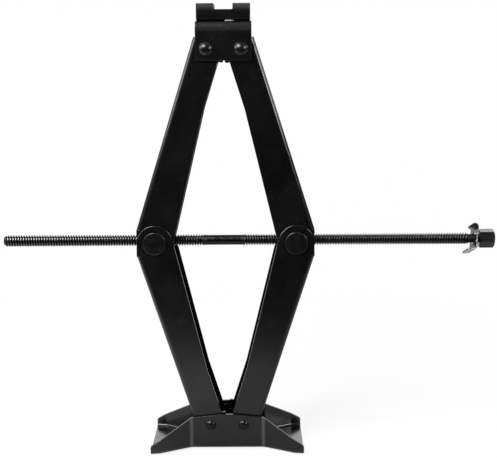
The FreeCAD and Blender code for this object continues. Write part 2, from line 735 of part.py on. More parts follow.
def cradle_welds(saddle, cradle):
    """A short weld bead in the seam on each side, shaped to the sheets it joins."""
    seam_y = CRADLE_HALF_WIDTH - CRADLE_BEND_RADIUS + WELD_RADIUS
    beads = []
    for side in (NEAR, FAR):
        middle = -side * WELD_OFFSET
        start = Vector(middle - WELD_LENGTH / 2, side * seam_y, SADDLE_TOP)
        bead = round_bar(WELD_RADIUS, start, X_AXIS, WELD_LENGTH)
        bead = fillet_where(bead, WELD_END_ROUND, lambda edge: edge.BoundBox.XLength < SAME)
        bead = bead.cut([saddle, cradle])
        beads.append(max(bead.Solids, key=lambda solid: solid.Volume))
    return Part.makeCompound(beads)


def jack():
    left_arm = lower_arm()
    right_top_arm = upper_arm(LOOP_CLEARANCE)
    left_top_arm = half_turn_about_z(upper_arm(PIN_CLEARANCE))
    saddle = saddle_bracket()
    cradle = notched_cradle()
    nodes = {
        "base_plate": base_plate(),
        "left_lower_arm": left_arm,
        "right_lower_arm": half_turn_about_z(left_arm),
        "left_upper_arm": left_top_arm,
        "right_upper_arm": right_top_arm,
        "left_trunnion_nut": trunnion_nut(-TRUNNION_OUT),
        "right_trunnion_nut": trunnion_nut(TRUNNION_OUT),
        "drive_screw": drive_screw(),
        "drive_head": drive_head(),
        "stop_clip": stop_clip(),
        "saddle_bracket": saddle,
        "notched_cradle": cradle,
        "cradle_welds": cradle_welds(saddle, cradle),
    }
    base_rivet = (BASE_RIVET_RADIUS, BASE_RIVET_HEAD_RADIUS, BASE_RIVET_HEAD_HEIGHT, BASE_HALF_WIDTH)
    top_rivet = (TOP_RIVET_RADIUS, TOP_RIVET_HEAD_RADIUS, TOP_RIVET_HEAD_HEIGHT, SADDLE_HALF_WIDTH)
    base_gap = LOWER_ARM_HALF_WIDTH - ARM_SHEET - SIDE_GAP
    top_gap = UPPER_ARM_HALF_WIDTH - ARM_SHEET - SIDE_GAP
    for name, x in (("left", -PIVOT_HALF_SPACING), ("right", PIVOT_HALF_SPACING)):
        nodes[name + "_base_rivet"] = rivet(x, BASE_PIVOT_HEIGHT, *base_rivet)
        nodes[name + "_top_rivet"] = rivet(x, TOP_PIVOT_HEIGHT, *top_rivet)
        nodes[name + "_base_spacer"] = spacer(x, BASE_PIVOT_HEIGHT, BASE_RIVET_RADIUS, base_gap)
        nodes[name + "_top_spacer"] = spacer(x, TOP_PIVOT_HEIGHT, TOP_RIVET_RADIUS, top_gap)
    return nodes


os.makedirs("parts", exist_ok=True)
for node, shape in jack().items():
    shape.exportStep("parts/" + node + ".step")
    print(node, "valid" if shape.isValid() else "INVALID", len(shape.Solids), round(shape.Volume))
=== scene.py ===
import math

import bpy
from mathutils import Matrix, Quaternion, Vector


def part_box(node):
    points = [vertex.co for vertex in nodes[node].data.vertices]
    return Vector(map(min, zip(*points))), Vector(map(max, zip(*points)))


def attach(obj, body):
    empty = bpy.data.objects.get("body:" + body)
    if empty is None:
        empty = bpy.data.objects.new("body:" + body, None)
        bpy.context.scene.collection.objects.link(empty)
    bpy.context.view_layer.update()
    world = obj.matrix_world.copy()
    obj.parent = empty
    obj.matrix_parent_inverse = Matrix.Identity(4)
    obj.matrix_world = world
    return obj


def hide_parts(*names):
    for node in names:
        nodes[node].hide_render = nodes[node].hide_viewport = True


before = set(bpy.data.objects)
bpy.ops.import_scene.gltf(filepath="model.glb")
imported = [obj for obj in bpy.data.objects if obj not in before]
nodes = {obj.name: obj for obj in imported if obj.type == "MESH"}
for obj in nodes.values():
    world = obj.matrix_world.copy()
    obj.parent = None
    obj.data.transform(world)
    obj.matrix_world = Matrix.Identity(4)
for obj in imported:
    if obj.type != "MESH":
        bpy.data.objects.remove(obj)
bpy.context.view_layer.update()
mm = 0.001
print("frame loaded:", len(nodes), "nodes")

# heights that the frame gives: the screw's axis, and the tops of the saddle and the cradle
screwLow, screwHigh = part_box("drive_screw")
screwHeight = (screwLow.z + screwHigh.z) / 2
saddleTopMm = round(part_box("saddle_bracket")[1].z / mm, 3)  # without the mesh's last digits
cradleTopMm = round(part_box("notched_cradle")[1].z / mm, 3)


# Small helpers

def colour(hexText):
    # sRGB hex to linear
    parts = [int(hexText[i:i + 2], 16) / 255 for i in (1, 3, 5)]
    return [p / 12.92 if p <= 0.04045 else ((p + 0.055) / 1.055) ** 2.4 for p in parts] + [1.0]


def greys(levels):
    # places and grey levels as the stops of a colour ramp
    return [(position, (level, level, level, 1.0)) for position, level in levels]


def perMetre(sizeInMm):
    # texture scale at which one pattern cell has this size
    return 1.0 / (sizeInMm * mm)


def addNode(tree, kind, settings=None, links=None):
    # settings are sockets, properties or the stops of a colour ramp, links feed sockets;
    # sockets go by identifier, because some of their names repeat
    made = tree.nodes.new(kind)
    sockets = {socket.identifier: socket for socket in made.inputs}
    for name, value in (settings or {}).items():
        if name == "stops":
            elements = made.color_ramp.elements
            for i, (position, shade) in enumerate(value):
                element = elements[i] if i < 2 else elements.new(position)  # a new ramp has two
                element.position = position
                element.color = shade
        elif name in sockets:
            sockets[name].default_value = value
        else:
            setattr(made, name, value)
    for name, source in (links or {}).items():
        tree.links.new(source, sockets[name])
    return made


def newMaterial(name, shaderSettings):
    material = bpy.data.materials.new(name)
    material.use_nodes = True
    tree = material.node_tree
    tree.nodes.clear()
    shader = addNode(tree, "ShaderNodeBsdfPrincipled", shaderSettings)
    addNode(tree, "ShaderNodeOutputMaterial", links={"Surface": shader.outputs["BSDF"]})
    place = addNode(tree, "ShaderNodeTexCoord").outputs["Object"]
    return material, tree, shader, place


def giveMaterial(material, nodeNames):
    for name in nodeNames:
        nodes[name].material_slots[0].material = material


def addPaintedBand(tree, place, tone, paintedBand):
    # a band of painted light, lighter or darker than the rest, along a line across one axis, mirrored about
    # the middle:
    # full up to fullMm from the line, gone at fadeMm
    sides = addNode(tree, "ShaderNodeVectorMath", {"operation": "ABSOLUTE"}, {"Vector": place})
    axes = addNode(tree, "ShaderNodeSeparateXYZ", links={"Vector": sides.outputs["Vector"]})
    past = addNode(
        tree, "ShaderNodeMath", {"operation": "SUBTRACT", "Value_001": paintedBand["lineMm"] * mm},
        {"Value": axes.outputs[paintedBand["axis"]]})
    away = addNode(tree, "ShaderNodeMath", {"operation": "ABSOLUTE"}, {"Value": past.outputs["Value"]})
    share = addNode(
        tree, "ShaderNodeMapRange",
        {"interpolation_type": "SMOOTHSTEP", "From Min": paintedBand["fadeMm"] * mm,
         "From Max": paintedBand["fullMm"] * mm},
        {"Value": away.outputs["Value"]}).outputs["Result"]
    if "outsideMm" in paintedBand:
        # only on the faces that lie this far out to the front and the back
        start, full = paintedBand["outsideMm"]
        outside = addNode(
            tree, "ShaderNodeMapRange",
            {"interpolation_type": "SMOOTHSTEP", "From Min": start * mm, "From Max": full * mm},
            {"Value": axes.outputs["Y"]})
        share = addNode(
            tree, "ShaderNodeMath", {"operation": "MULTIPLY"},
            {"Value": share, "Value_001": outside.outputs["Result"]}).outputs["Value"]
    mixed = addNode(
        tree, "ShaderNodeMix", {"data_type": "RGBA", "B_Color": colour(paintedBand["shade"])},
        {"Factor_Float": share, "A_Color": tone})
    return mixed.outputs[2]  # a Mix node's third result is the colour


# Black enamel: dipped and baked on pressed steel, so it is glossy with a fine orange peel,
# a slow change of tone where the coat is thicker, and faint rub marks from handling

enamelCoat = {
    "ior": 1.52, "shine": 0.5, "thickAt": 0.35, "thinAt": 0.7, "toneDetail": 3.0,
    "rubDetail": 6.0, "rubGrit": 0.65, "rubWarp": 0.8, "rubStart": 0.5, "rubFull": 0.78,
    "peelDetail": 1.5, "edgeSamples": 4,
}

enamelFinishes = {
    "armEnamel": {
        "nodes": ["left_lower_arm", "right_lower_arm", "left_upper_arm", "right_upper_arm"],
        "thin": "#0d0d0e", "thick": "#060607", "toneMm": 45, "smooth": 0.17, "rubbed": 0.34,
        "rubMm": 14, "peelMm": 2.4, "peelDepthMm": 0.007, "edgeMm": 1.2,
    },
    "baseEnamel": {
        "nodes": ["base_plate"],
        "thin": "#0f0f10", "thick": "#070708", "toneMm": 40, "smooth": 0.2, "rubbed": 0.4,
        "rubMm": 11, "peelMm": 2.6, "peelDepthMm": 0.014, "edgeMm": 0.6,
        # a lighter band painted down the creases of the flanges, a painted highlight where the creases
        # catch the light
        "paintedBand": {"shade": "#38383a", "axis": "X", "lineMm": 41.8, "fadeMm": 3.2, "fullMm": 0.0,
                 "outsideMm": (23.6, 24.1)},
    },
    "saddleEnamel": {
        "nodes": ["saddle_bracket"],
        "thin": "#0c0c0d", "thick": "#050506", "toneMm": 30, "smooth": 0.18, "rubbed": 0.36,
        "rubMm": 9, "peelMm": 2.2, "peelDepthMm": 0.012, "edgeMm": 0.6,
        # a lighter band painted where the sides begin, under the bend: painted sheen that widens the bend's
        # reflection
        "paintedBand": {"shade": "#1b1b1c", "axis": "Z", "lineMm": saddleTopMm - 8.6, "fadeMm": 3.6,
                 "fullMm": 0.0},
    },
    "cradleEnamel": {
        "nodes": ["notched_cradle"],
        "thin": "#0b0b0c", "thick": "#050506", "toneMm": 24, "smooth": 0.2, "rubbed": 0.4,
        "rubMm": 8, "peelMm": 2.2, "peelDepthMm": 0.012, "edgeMm": 0.6,
        # the tabs' tops are painted lighter, fading downward: painted light on the tops
        "paintedBand": {"shade": "#3c3c3d", "axis": "Z", "lineMm": cradleTopMm + 1.5, "fadeMm": 10.5,
                 "fullMm": 0.0},
    },
    "rivetEnamel": {
        "nodes": ["left_top_rivet", "right_top_rivet"],
        "thin": "#0f0f10", "thick": "#080809", "toneMm": 8, "smooth": 0.2, "rubbed": 0.28,
        "rubMm": 5, "peelMm": 1.8, "peelDepthMm": 0.004, "edgeMm": 0.6, "shine": 0.37,
    },
    "thinRivetEnamel": {  # less coat stays on the small heads, so they shine less
        "nodes": ["left_base_rivet", "right_base_rivet"],
        "thin": "#101011", "thick": "#09090a", "toneMm": 6, "smooth": 0.16, "rubbed": 0.24,
        "rubMm": 4, "peelMm": 1.8, "peelDepthMm": 0.01, "edgeMm": 0.6, "shine": 0.22,
    },
    "trunnionEnamel": {
        "nodes": ["left_trunnion_nut", "right_trunnion_nut"],
        "thin": "#101011", "thick": "#08080a", "toneMm": 12, "smooth": 0.2, "rubbed": 0.36,
        "rubMm": 6, "peelMm": 1.6, "peelDepthMm": 0.014, "edgeMm": 0.6,
    },
}


def makeEnamel(name, finish, coat):
    shine = finish.get("shine", coat["shine"])
    material, tree, shader, place = newMaterial(
        name, {"Metallic": 0.0, "IOR": coat["ior"], "Specular IOR Level": shine})
    cloud = addNode(
        tree, "ShaderNodeTexNoise", {"Scale": perMetre(finish["toneMm"]), "Detail": coat["toneDetail"]},
        {"Vector": place})
    stops = ((coat["thickAt"], colour(finish["thick"])), (coat["thinAt"], colour(finish["thin"])))
    skin = addNode(tree, "ShaderNodeValToRGB", {"stops": stops}, {"Fac": cloud.outputs["Fac"]})
    tone = skin.outputs["Color"]
    # some parts get a band of painted light over their tone
    if "paintedBand" in finish:
        tone = addPaintedBand(tree, place, tone, finish["paintedBand"])
    tree.links.new(tone, shader.inputs["Base Color"])
    rub = addNode(
        tree, "ShaderNodeTexNoise",
        {"Scale": perMetre(finish["rubMm"]), "Detail": coat["rubDetail"], "Roughness": coat["rubGrit"],
         "Distortion": coat["rubWarp"]},
        {"Vector": place})
    gloss = addNode(
        tree, "ShaderNodeMapRange",
        {"From Min": coat["rubStart"], "From Max": coat["rubFull"], "To Min": finish["smooth"],
         "To Max": finish["rubbed"]},
        {"Value": rub.outputs["Fac"]})
    tree.links.new(gloss.outputs["Result"], shader.inputs["Roughness"])
    peel = addNode(
        tree, "ShaderNodeTexNoise", {"Scale": perMetre(finish["peelMm"]), "Detail": coat["peelDetail"]},
        {"Vector": place})
    # the coat draws back from sharp edges and leaves them round
    rounded = addNode(
        tree, "ShaderNodeBevel", {"samples": coat["edgeSamples"], "Radius": finish["edgeMm"] * mm})
    bump = addNode(
        tree, "ShaderNodeBump", {"Strength": 1.0, "Distance": finish["peelDepthMm"] * mm},
        {"Height": peel.outputs["Fac"], "Normal": rounded.outputs["Normal"]})
    tree.links.new(bump.outputs["Normal"], shader.inputs["Normal"])
    return material


enamels = {name: makeEnamel(name, finish, enamelCoat) for name, finish in enamelFinishes.items()}
for name, finish in enamelFinishes.items():
    giveMaterial(enamels[name], finish["nodes"])
print("enamel on the sheet metal, rivets and trunnions")


# Black oxide: a thin magnetite skin on rolled steel, wiped with oil. The thread's crests are
# burnished by the rolling dies and catch the light; the darker roots and flanks are painted shade for the
# grooves, and the roots stay dull

screwFinish = {
    "root": "#29292a", "flank": "#39393a", "crest": "#606062", "rootMm": 4.6, "crestMm": 6.5,
    "rootAt": 0.0, "flankAt": 0.85, "crestAt": 0.97,
    "dull": 0.55, "burnished": 0.2, "burnishStart": 0.6, "burnishFull": 1.0,
    "shankMiddleMm": -2.0, "shankHalfMm": 20.0, "shankFadeMm": 2.0, "shankGloss": 0.26,
    "oilMm": 6, "oilDetail": 4.0, "oilSpread": 0.5,
    "grainMm": 0.5, "grainDetail": 2.0, "grainDepthMm": 0.008, "rolledEdgeMm": 0.4, "edgeSamples": 6,
}


def makeScrewOxide(finish):
    material, tree, shader, place = newMaterial("oiledBlackOxide", {"Metallic": 1.0})
    around = addNode(
        tree, "ShaderNodeMapping", {"Location": (0, 0, -screwHeight), "Scale": (0, 1, 1)},
        {"Vector": place})
    radius = addNode(
        tree, "ShaderNodeVectorMath", {"operation": "LENGTH"}, {"Vector": around.outputs["Vector"]})
    # 0 at the thread's root, 1 at its crest
    height = addNode(
        tree, "ShaderNodeMapRange",
        {"From Min": finish["rootMm"] * mm, "From Max": finish["crestMm"] * mm},
        {"Value": radius.outputs["Value"]}).outputs["Result"]
    # darker towards the root: painted shade in the thread's grooves
    stops = [(finish[part + "At"], colour(finish[part])) for part in ("root", "flank", "crest")]
    skin = addNode(tree, "ShaderNodeValToRGB", {"stops": stops}, {"Fac": height})
    tree.links.new(skin.outputs["Color"], shader.inputs["Base Color"])
    shine = addNode(
        tree, "ShaderNodeMapRange",
        {"From Min": finish["burnishStart"], "From Max": finish["burnishFull"], "To Min": finish["dull"],
         "To Max": finish["burnished"]},
        {"Value": height})
    # the plain shank between the threads is drawn smooth
    axes = addNode(tree, "ShaderNodeSeparateXYZ", links={"Vector": place})
    past = addNode(
        tree, "ShaderNodeMath", {"operation": "SUBTRACT", "Value_001": finish["shankMiddleMm"] * mm},
        {"Value": axes.outputs["X"]})
    away = addNode(tree, "ShaderNodeMath", {"operation": "ABSOLUTE"}, {"Value": past.outputs["Value"]})
    onShank = addNode(
        tree, "ShaderNodeMapRange",
        {"interpolation_type": "SMOOTHSTEP",
         "From Min": (finish["shankHalfMm"] + finish["shankFadeMm"]) * mm,
         "From Max": (finish["shankHalfMm"] - finish["shankFadeMm"]) * mm},
        {"Value": away.outputs["Value"]})
    drawn = addNode(
        tree, "ShaderNodeMix", {"data_type": "FLOAT", "B_Float": finish["shankGloss"]},
        {"Factor_Float": onShank.outputs["Result"], "A_Float": shine.outputs["Result"]})
    # the film of oil is uneven, so the gloss goes up and down about its mean
    oil = addNode(
        tree, "ShaderNodeTexNoise", {"Scale": perMetre(finish["oilMm"]), "Detail": finish["oilDetail"]},
        {"Vector": place})
    spread = addNode(
        tree, "ShaderNodeMath",
        {"operation": "MULTIPLY_ADD", "Value_001": finish["oilSpread"],
         "Value_002": -finish["oilSpread"] / 2},
        {"Value": oil.outputs["Fac"]})
    gloss = addNode(
        tree, "ShaderNodeMath", {"operation": "ADD", "use_clamp": True},
        {"Value": drawn.outputs["Result"], "Value_001": spread.outputs["Value"]})
    tree.links.new(gloss.outputs["Value"], shader.inputs["Roughness"])
    grain = addNode(
        tree, "ShaderNodeTexNoise",
        {"Scale": perMetre(finish["grainMm"]), "Detail": finish["grainDetail"]}, {"Vector": place})
    # rolling leaves the ridge's edges round
    rolled = addNode(
        tree, "ShaderNodeBevel", {"samples": finish["edgeSamples"], "Radius": finish["rolledEdgeMm"] * mm})
    bump = addNode(
        tree, "ShaderNodeBump", {"Strength": 1.0, "Distance": finish["grainDepthMm"] * mm},
        {"Height": grain.outputs["Fac"], "Normal": rolled.outputs["Normal"]})
    tree.links.new(bump.outputs["Normal"], shader.inputs["Normal"])
    return material


giveMaterial(makeScrewOxide(screwFinish), ["drive_screw"])
print("oiled black oxide on the screw")


# Steel with the marks of handling: tumbled black oxide on the hex head, glossy with soft nicks
# from the drum, and bright spring steel on the clip, which mirrors its surroundings

steelSkin = {
    "toneDetail": 5.0, "darkAt": 0.4, "wornAt": 0.75, "glossStart": 0.35, "glossFull": 0.7,
    "nickStrength": 0.6,
}

steelFinishes = {
    "tumbledOxide": {
        "nodes": ["drive_head"], "dark": "#060607", "worn": "#0e0e10", "toneMm": 7, "nickMm": 2.2,
        "nickDepthMm": 0.03, "smooth": 0.14, "rough": 0.28, "metallic": 0.2,
    },
    "springSteel": {
        "nodes": ["stop_clip"], "dark": "#626264", "worn": "#8e8e90", "toneMm": 6, "nickMm": 1.6,
        "nickDepthMm": 0.02, "smooth": 0.12, "rough": 0.28, "metallic": 0.95,
        # the upper ear is painted dark: painted shade on the ear
        "paintedBand": {"shade": "#1c1c1d", "axis": "Z", "lineMm": screwHeight / mm + 16.0, "fadeMm": 6.0,
                 "fullMm": 4.8},
    },
}


def makeSteelSkin(name, finish, skin):
    material, tree, shader, place = newMaterial(name, {"Metallic": finish["metallic"]})
    cloud = addNode(
        tree, "ShaderNodeTexNoise", {"Scale": perMetre(finish["toneMm"]), "Detail": skin["toneDetail"]},
        {"Vector": place}).outputs["Fac"]
    stops = ((skin["darkAt"], colour(finish["dark"])), (skin["wornAt"], colour(finish["worn"])))
    tone = addNode(tree, "ShaderNodeValToRGB", {"stops": stops}, {"Fac": cloud}).outputs["Color"]
    # the clip's upper ear gets a band of painted shade
    if "paintedBand" in finish:
        tone = addPaintedBand(tree, place, tone, finish["paintedBand"])
    tree.links.new(tone, shader.inputs["Base Color"])
    gloss = addNode(
        tree, "ShaderNodeMapRange",
        {"From Min": skin["glossStart"], "From Max": skin["glossFull"], "To Min": finish["smooth"],
         "To Max": finish["rough"]},
        {"Value": cloud})
    tree.links.new(gloss.outputs["Result"], shader.inputs["Roughness"])
    nicks = addNode(tree, "ShaderNodeTexVoronoi", {"Scale": perMetre(finish["nickMm"])}, {"Vector": place})
    bump = addNode(
        tree, "ShaderNodeBump", {"Strength": skin["nickStrength"], "Distance": finish["nickDepthMm"] * mm},
        {"Height": nicks.outputs["Distance"]})
    tree.links.new(bump.outputs["Normal"], shader.inputs["Normal"])
    return material


for name, finish in steelFinishes.items():
    giveMaterial(makeSteelSkin(name, finish, steelSkin), finish["nodes"])
print("tumbled oxide on the hex head, spring steel on the clip")


# Bare turned steel: the spacer sleeves, with the rings of a lathe tool, drawn coarse so that
# they show, and brown stains of old oil

sleeveFinish = {
    "nodes": ["left_base_spacer", "right_base_spacer", "left_top_spacer", "right_top_spacer"],
    "steel": "#8d8d90", "stained": "#5a544c", "steelAt": 0.45, "stainedAt": 0.8, "roughness": 0.38,
    "stainMm": 9, "stainDetail": 4.0,
    "ringMm": 3.77, "ringWarp": 0.4, "ringDepthMm": 0.02, "ringStrength": 0.5,
}

waveTurns = 20 / (2 * math.pi)  # bands that a wave texture has in one unit at a scale of 1


def makeTurnedSteel(finish):
    material, tree, shader, place = newMaterial(
        "turnedSteel", {"Metallic": 1.0, "Roughness": finish["roughness"]})
    stain = addNode(
        tree, "ShaderNodeTexNoise", {"Scale": perMetre(finish["stainMm"]), "Detail": finish["stainDetail"]},
        {"Vector": place})
    stops = [(finish[part + "At"], colour(finish[part])) for part in ("steel", "stained")]
    skin = addNode(tree, "ShaderNodeValToRGB", {"stops": stops}, {"Fac": stain.outputs["Fac"]})
    tree.links.new(skin.outputs["Color"], shader.inputs["Base Color"])
    rings = addNode(
        tree, "ShaderNodeTexWave",
        {"bands_direction": "Y", "Scale": perMetre(finish["ringMm"]) / waveTurns,
         "Distortion": finish["ringWarp"]},
        {"Vector": place})
    bump = addNode(
        tree, "ShaderNodeBump",
        {"Strength": finish["ringStrength"], "Distance": finish["ringDepthMm"] * mm},
        {"Height": rings.outputs["Fac"]})
    tree.links.new(bump.outputs["Normal"], shader.inputs["Normal"])
    return material


giveMaterial(makeTurnedSteel(sleeveFinish), sleeveFinish["nodes"])
print("turned steel on the spacer sleeves")


# Hammered lips: the trunnions' ends are peened over the arms by hand, so each end has a lip
# of small uneven dents that breaks the light into short arcs

lipSettings = {
    "ringMm": 11.95, "wireMm": 0.85, "proudMm": 0.15, "blows": 30, "around": 8, "unevenMm": 0.36,
    "soften": 0.4, "levels": 2,
    # node, body, side (-1 is near), seed of the dents
    "ends": {
        "leftNearLip": ("left_trunnion_nut", "left_trunnion", -1, 3),
        "leftFarLip": ("left_trunnion_nut", "left_trunnion", 1, 11),
        "rightNearLip": ("right_trunnion_nut", "right_trunnion", -1, 7),
        "rightFarLip": ("right_trunnion_nut", "right_trunnion", 1, 19),
    },
}


def selectOnly(piece):
    bpy.ops.object.select_all(action="DESELECT")
    piece.select_set(True)
    bpy.context.view_layer.objects.active = piece


def finishPiece(piece, body, material):
    selectOnly(piece)
    bpy.ops.object.transform_apply(location=True, rotation=True, scale=True)
    bpy.ops.object.shade_smooth()
    piece.data.materials.clear()
    piece.data.materials.append(material)
    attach(piece, body)


def applyModifier(piece, kind, settings):
    made = piece.modifiers.new(kind.lower(), kind)
    for name, value in settings.items():
        setattr(made, name, value)
    bpy.ops.object.modifier_apply(modifier=made.name)


def makeLip(name, settings, node, body, side, seed):
    low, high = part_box(node)
    end = low.y if side < 0 else high.y
    inward = (settings["wireMm"] - settings["proudMm"]) * mm
    middle = ((low.x + high.x) / 2, end - side * inward, (low.z + high.z) / 2)
    bpy.ops.object.select_all(action="DESELECT")
    bpy.ops.mesh.primitive_torus_add(
        major_radius=settings["ringMm"] * mm, minor_radius=settings["wireMm"] * mm,
        major_segments=settings["blows"], minor_segments=settings["around"],
        location=middle, rotation=(math.pi / 2, 0, 0))
    lip = bpy.context.object
    lip.name = name
    bpy.ops.object.mode_set(mode="EDIT")
    bpy.ops.mesh.select_all(action="SELECT")
    bpy.ops.transform.vertex_random(offset=settings["unevenMm"] * mm, seed=seed)
    bpy.ops.mesh.vertices_smooth(factor=settings["soften"])
    bpy.ops.object.mode_set(mode="OBJECT")
    applyModifier(lip, "SUBSURF", {"levels": settings["levels"]})
    finishPiece(lip, body, enamels["trunnionEnamel"])


for name, (node, body, side, seed) in lipSettings["ends"].items():
    makeLip(name, lipSettings, node, body, side, seed)
print("hammered lips on the trunnions")


# Weld beads: a row of frozen puddles in the seam between cradle and saddle. The wire brush took
# the coat off their crowns, so bright steel shows between dull streaks of oxide

weldFinish = {
    "dark": "#5c5c5e", "worn": "#c4c4c6", "toneMm": 2.5, "nickMm": 0.9, "nickDepthMm": 0.01,
    "smooth": 0.16, "rough": 0.34, "metallic": 1.0,
}

weldSettings = {
    "middleMm": 6.6, "seamMm": 15.3, "seamHeightMm": saddleTopMm - 0.1, "puddles": 8, "stepMm": 1.3,
    "puddleMm": (1.35, 2.2, 1.5), "endShare": 0.72, "endPower": 4, "leanDegrees": 26,
    "segments": 32, "rings": 24, "voxelMm": 0.14, "smoothFactor": 0.5, "smoothTimes": 3,
}


def makeBead(name, settings):
    last = settings["puddles"] - 1
    steps = [i / last * 2 - 1 for i in range(settings["puddles"])]  # -1 and 1 are the bead's ends
    sizes = [1 - (1 - settings["endShare"]) * step ** settings["endPower"] for step in steps]
    middle = Vector((settings["middleMm"], -settings["seamMm"], settings["seamHeightMm"])) * mm
    pitch = settings["stepMm"] * mm
    places = [middle + Vector((step * last / 2 * pitch, 0, 0)) for step in steps]
    bpy.ops.object.select_all(action="DESELECT")
    bpy.ops.mesh.primitive_uv_sphere_add(
        segments=settings["segments"], ring_count=settings["rings"], radius=mm * sizes[0],
        location=places[0], rotation=(0, math.radians(settings["leanDegrees"]), 0),
        scale=settings["puddleMm"])
    bead = bpy.context.object
    bead.name = name
    bpy.ops.object.transform_apply(location=True, rotation=True, scale=True)
    # each puddle is a copy of the one before it, a step further along the seam
    bpy.ops.object.mode_set(mode="EDIT")
    bpy.ops.mesh.select_all(action="SELECT")
    for i in range(1, settings["puddles"]):
        growth = sizes[i] / sizes[i - 1]
        bpy.ops.mesh.duplicate()
        bpy.ops.transform.translate(value=(pitch, 0, 0))
        bpy.ops.transform.resize(value=(growth, growth, growth), center_override=places[i])
    bpy.ops.object.mode_set(mode="OBJECT")
    applyModifier(bead, "REMESH", {"mode": "VOXEL", "voxel_size": settings["voxelMm"] * mm})
    applyModifier(
        bead, "SMOOTH", {"factor": settings["smoothFactor"], "iterations": settings["smoothTimes"]})
    return bead


def copyAcross(piece, name):
    # the same piece on the far side, turned half round the upright through the origin
    selectOnly(piece)
    bpy.ops.object.duplicate()
    bpy.ops.transform.rotate(value=math.pi, orient_axis="Z", center_override=(0, 0, 0))
    copied = bpy.context.object
    copied.name = name
    return copied


brushedWeld = makeSteelSkin("brushedWeld", weldFinish, steelSkin)
nearBead = makeBead("nearWeldBead", weldSettings)
farBead = copyAcross(nearBead, "farWeldBead")
for bead in (nearBead, farBead):
    finishPiece(bead, "saddle", brushedWeld)
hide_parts("cradle_welds")
print("weld beads in the cradle's seam")


# Studio, in metres: a pale floor that runs into a white background, soft boxes round the jack.
# A glossy black part shows what it mirrors, so the floor and the room have mirrored levels too

def addMirrorRays(tree):
    rays = addNode(tree, "ShaderNodeLightPath")
    mirrored = addNode(
        tree, "ShaderNodeMath", {"operation": "MAXIMUM"},
        {"Value": rays.outputs["Is Glossy Ray"], "Value_001": rays.outputs["Is Transmission Ray"]})
    return rays.outputs["Is Camera Ray"], mirrored.outputs["Value"]


floorSettings = {
    "half": 6.0, "drop": 0.0004, "paint": "#dededc", "glow": 0.8, "glowStart": 0.3, "glowFull": 0.8,
    # how bright the floor is in a mirror, by the distance in front of the jack
    "reach": 1.0,
    "mirrored": ((0.0, 0.95), (0.1, 0.85), (0.18, 0.76), (0.28, 0.72), (0.35, 0.5), (0.44, 0.18),
                 (0.58, 0.05), (0.8, 0.01)),
    "sideFall": 2.2, "sideReach": 0.15, "backEdge": 0.05,
    "shadeStart": 0.03, "shadeEnd": 0.2, "shade": 0.45,
}


def makeFloor(settings):
    bpy.ops.object.select_all(action="DESELECT")
    bpy.ops.mesh.primitive_plane_add(size=2 * settings["half"], location=(0, 0, -settings["drop"]))
    floor = bpy.context.object
    floor.name = "floor"
    material = bpy.data.materials.new("paleFloor")
    material.use_nodes = True
    tree = material.node_tree
    tree.nodes.clear()
    fromCamera, mirrored = addMirrorRays(tree)
    place = addNode(tree, "ShaderNodeTexCoord").outputs["Object"]
    axes = addNode(tree, "ShaderNodeSeparateXYZ", links={"Vector": place})
    away = addNode(
        tree, "ShaderNodeVectorMath", {"operation": "LENGTH"}, {"Vector": place}).outputs["Value"]
    # the lit sweep ends in front of the jack, so what mirrors the room beyond it stays dark
    inFront = addNode(
        tree, "ShaderNodeMath", {"operation": "MULTIPLY", "Value_001": -1.0 / settings["reach"]},
        {"Value": axes.outputs["Y"]})
    level = addNode(
        tree, "ShaderNodeValToRGB", {"stops": greys(settings["mirrored"])},
        {"Fac": inFront.outputs["Value"]})
    # it is brighter to the left, and the jack's own shade darkens it close by
    tiltEnd = settings["sideReach"] * settings["sideFall"]
    tilt = addNode(
        tree, "ShaderNodeMapRange",
        {"From Min": -settings["sideReach"], "From Max": settings["sideReach"], "To Min": 1 + tiltEnd,
         "To Max": 1 - tiltEnd},
        {"Value": axes.outputs["X"]})
    tilted = addNode(
        tree, "ShaderNodeMath", {"operation": "MULTIPLY"},
        {"Value": level.outputs["Color"], "Value_001": tilt.outputs["Result"]})
    shade = addNode(
        tree, "ShaderNodeMapRange",
        {"From Min": settings["shadeStart"], "From Max": settings["shadeEnd"], "To Min": settings["shade"]},
        {"Value": away})
    lit = addNode(
        tree, "ShaderNodeMath", {"operation": "MULTIPLY"},
        {"Value": tilted.outputs["Value"], "Value_001": shade.outputs["Result"]})
    behind = addNode(
        tree, "ShaderNodeMapRange", {"From Min": 0.0, "From Max": settings["backEdge"]},
        {"Value": axes.outputs["Y"]})
    strength = addNode(
        tree, "ShaderNodeMath", {"operation": "MAXIMUM"},
        {"Value": lit.outputs["Value"], "Value_001": behind.outputs["Result"]})
    inMirror = addNode(
        tree, "ShaderNodeEmission", {"Color": (1, 1, 1, 1)}, {"Strength": strength.outputs["Value"]})
    # the camera sees the paint and its shadows near the jack, and plain white further out
    paint = addNode(tree, "ShaderNodeBsdfDiffuse", {"Color": colour(settings["paint"])})
    white = addNode(tree, "ShaderNodeEmission", {"Color": (1, 1, 1, 1), "Strength": 1.0})
    glow = addNode(
        tree, "ShaderNodeMapRange",
        {"From Min": settings["glowStart"], "From Max": settings["glowFull"], "To Min": settings["glow"]},
        {"Value": away})
    shown = addNode(
        tree, "ShaderNodeMath", {"operation": "MULTIPLY"},
        {"Value": fromCamera, "Value_001": glow.outputs["Result"]})
    seen = addNode(
        tree, "ShaderNodeMixShader",
        links={"Fac": shown.outputs["Value"], "Shader": paint.outputs["BSDF"],
               "Shader_001": white.outputs["Emission"]})
    both = addNode(
        tree, "ShaderNodeMixShader",
        links={"Fac": mirrored, "Shader": seen.outputs["Shader"],
               "Shader_001": inMirror.outputs["Emission"]})
    addNode(tree, "ShaderNodeOutputMaterial", links={"Surface": both.outputs["Shader"]})
    floor.data.materials.append(material)


makeFloor(floorSettings)

